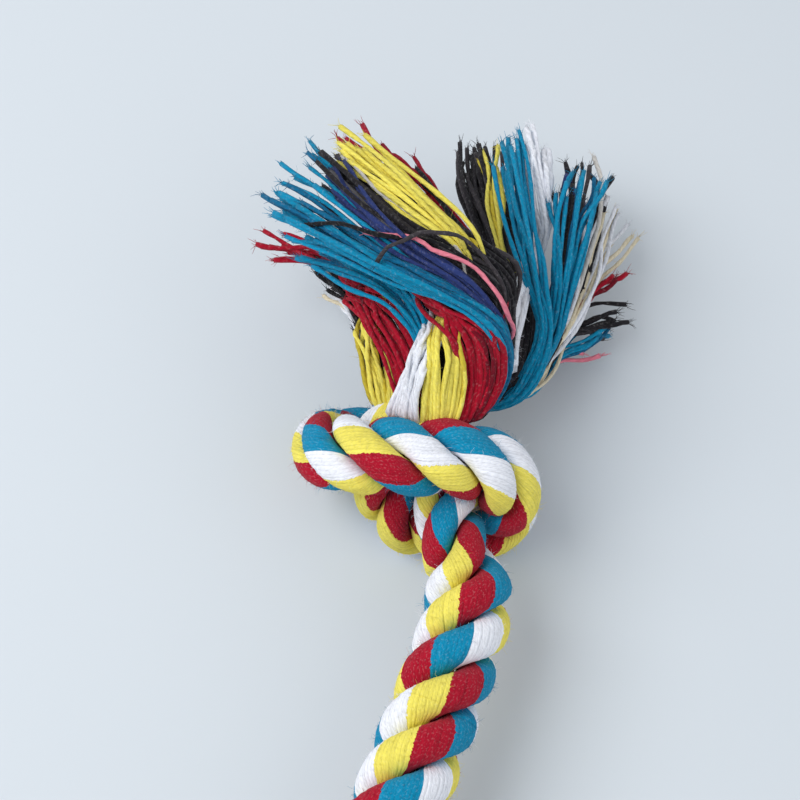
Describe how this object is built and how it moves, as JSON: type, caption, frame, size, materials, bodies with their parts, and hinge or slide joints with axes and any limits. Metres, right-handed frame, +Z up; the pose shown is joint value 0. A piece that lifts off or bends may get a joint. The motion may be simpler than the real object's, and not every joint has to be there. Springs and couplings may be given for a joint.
{
  "type": "rope dog toy",
  "caption": "Laid cotton rope with an overhand knot at each end and frayed tufts of coloured yarn past the knots, for tugging, throwing and chewing.",
  "frame": {"origin": "on the floor under the middle of the rope, which is the middle of the box's bottom", "axes": "+Z up; +Y along the toy from its middle towards the pictured end; +X to the right as the picture sees it"},
  "size_m": [0.1118, 0.3054, 0.0531],
  "materials": {
    "laid_cotton": "strand of white, yellow, red and teal cotton yarns, soft and matt",
    "white_cotton": "soft matt cotton yarn",
    "yellow_cotton": "soft matt cotton yarn",
    "red_cotton": "soft matt cotton yarn",
    "teal_cotton": "soft matt cotton yarn",
    "core_cotton": "mixed dark recycled cotton yarns, soft and matt"
  },
  "bodies": {
    "knot_a": {"knot_a_strand_1": "laid_cotton", "knot_a_strand_2": "laid_cotton", "knot_a_strand_3": "laid_cotton"},
    "rope_a": {"rope_a_strand_1": "laid_cotton", "rope_a_strand_2": "laid_cotton", "rope_a_strand_3": "laid_cotton"},
    "tuft_a_left": {"tuft_a_left_white": "white_cotton", "tuft_a_left_yellow": "yellow_cotton", "tuft_a_left_red": "red_cotton", "tuft_a_left_teal": "teal_cotton", "tuft_a_left_core": "core_cotton"},
    "tuft_a_top": {"tuft_a_top_white": "white_cotton", "tuft_a_top_yellow": "yellow_cotton", "tuft_a_top_red": "red_cotton", "tuft_a_top_teal": "teal_cotton", "tuft_a_top_core": "core_cotton"},
    "tuft_a_right": {"tuft_a_right_white": "white_cotton", "tuft_a_right_yellow": "yellow_cotton", "tuft_a_right_red": "red_cotton", "tuft_a_right_teal": "teal_cotton", "tuft_a_right_core": "core_cotton"},
    "knot_b": {"knot_b_strand_1": "laid_cotton", "knot_b_strand_2": "laid_cotton", "knot_b_strand_3": "laid_cotton"},
    "rope_b": {"rope_b_strand_1": "laid_cotton", "rope_b_strand_2": "laid_cotton", "rope_b_strand_3": "laid_cotton"},
    "tuft_b_left": {"tuft_b_left_white": "white_cotton", "tuft_b_left_yellow": "yellow_cotton", "tuft_b_left_red": "red_cotton", "tuft_b_left_teal": "teal_cotton", "tuft_b_left_core": "core_cotton"},
    "tuft_b_top": {"tuft_b_top_white": "white_cotton", "tuft_b_top_yellow": "yellow_cotton", "tuft_b_top_red": "red_cotton", "tuft_b_top_teal": "teal_cotton", "tuft_b_top_core": "core_cotton"},
    "tuft_b_right": {"tuft_b_right_white": "white_cotton", "tuft_b_right_yellow": "yellow_cotton", "tuft_b_right_red": "red_cotton", "tuft_b_right_teal": "teal_cotton", "tuft_b_right_core": "core_cotton"}
  },
  "joints": [
    {"name": "bend_at_knot_a", "type": "hinge", "parent": "knot_a", "child": "rope_a", "pos_m": [0.01833, 0.045, 0.01994], "axis": [0, 0, 1], "range_deg": [-35, 35], "stiffness_Nm_per_rad": 0.05},
    {"name": "bend_in_middle", "type": "hinge", "parent": "rope_a", "child": "rope_b", "pos_m": [0, 0, 0.01994], "axis": [0.9122, -0.4097, 0], "range_deg": [-45, 45], "stiffness_Nm_per_rad": 0.05},
    {"name": "bend_at_knot_b", "type": "hinge", "parent": "rope_b", "child": "knot_b", "pos_m": [-0.01833, -0.045, 0.01994], "axis": [0, 0, 1], "range_deg": [-35, 35], "stiffness_Nm_per_rad": 0.05},
    {"name": "tuft_a_left_swing", "type": "hinge", "parent": "knot_a", "child": "tuft_a_left", "pos_m": [0.007, 0.0954, 0.0237], "axis": [0, 0, 1], "range_deg": [0, 35], "stiffness_Nm_per_rad": 0.004},
    {"name": "tuft_a_top_swing", "type": "hinge", "parent": "knot_a", "child": "tuft_a_top", "pos_m": [0.0116, 0.086, 0.0261], "axis": [0.8, -0.6, 0], "range_deg": [0, 30], "stiffness_Nm_per_rad": 0.004},
    {"name": "tuft_a_right_swing", "type": "hinge", "parent": "knot_a", "child": "tuft_a_right", "pos_m": [0.0139, 0.088, 0.0176], "axis": [0, 0.2425, -0.9701], "range_deg": [0, 35], "stiffness_Nm_per_rad": 0.004},
    {"name": "tuft_b_left_swing", "type": "hinge", "parent": "knot_b", "child": "tuft_b_left", "pos_m": [-0.007, -0.0954, 0.0237], "axis": [0, 0, 1], "range_deg": [0, 35], "stiffness_Nm_per_rad": 0.004},
    {"name": "tuft_b_top_swing", "type": "hinge", "parent": "knot_b", "child": "tuft_b_top", "pos_m": [-0.0116, -0.086, 0.0261], "axis": [-0.8, 0.6, 0], "range_deg": [0, 30], "stiffness_Nm_per_rad": 0.004},
    {"name": "tuft_b_right_swing", "type": "hinge", "parent": "knot_b", "child": "tuft_b_right", "pos_m": [-0.0139, -0.088, 0.0176], "axis": [0, -0.2425, -0.9701], "range_deg": [0, 35], "stiffness_Nm_per_rad": 0.004}
  ]
}
